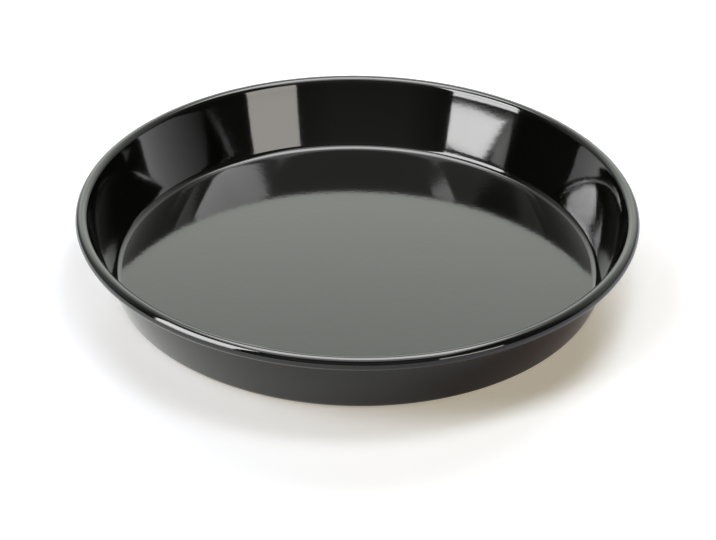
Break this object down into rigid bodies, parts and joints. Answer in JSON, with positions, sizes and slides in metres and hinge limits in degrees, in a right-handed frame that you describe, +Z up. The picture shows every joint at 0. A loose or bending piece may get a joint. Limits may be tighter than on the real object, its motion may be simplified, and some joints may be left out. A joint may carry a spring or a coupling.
{
  "type": "pizza pan",
  "caption": "Round black enamelled steel pizza pan with a flat floor, a flared wall and a rolled rim, for baking pizza and flat cakes in an oven.",
  "frame": {"origin": "centre of the underside, on the surface that the pan stands on", "axes": "+Z up along the pan's axis; the pan is round, so +X and +Y are alike"},
  "size_m": [0.32, 0.32, 0.044],
  "materials": {
    "steel": "bare drawn sheet, sealed under the enamel",
    "ground_enamel": "fired ground coat, satin, hidden under the cover coat",
    "black_enamel": "fired black cover coat, high gloss"
  },
  "bodies": {
    "root": {"steel_core": "steel", "inside_ground_coat": "ground_enamel", "inside_cover_coat": "black_enamel", "outside_ground_coat": "ground_enamel", "outside_cover_coat": "black_enamel"}
  },
  "joints": []
}
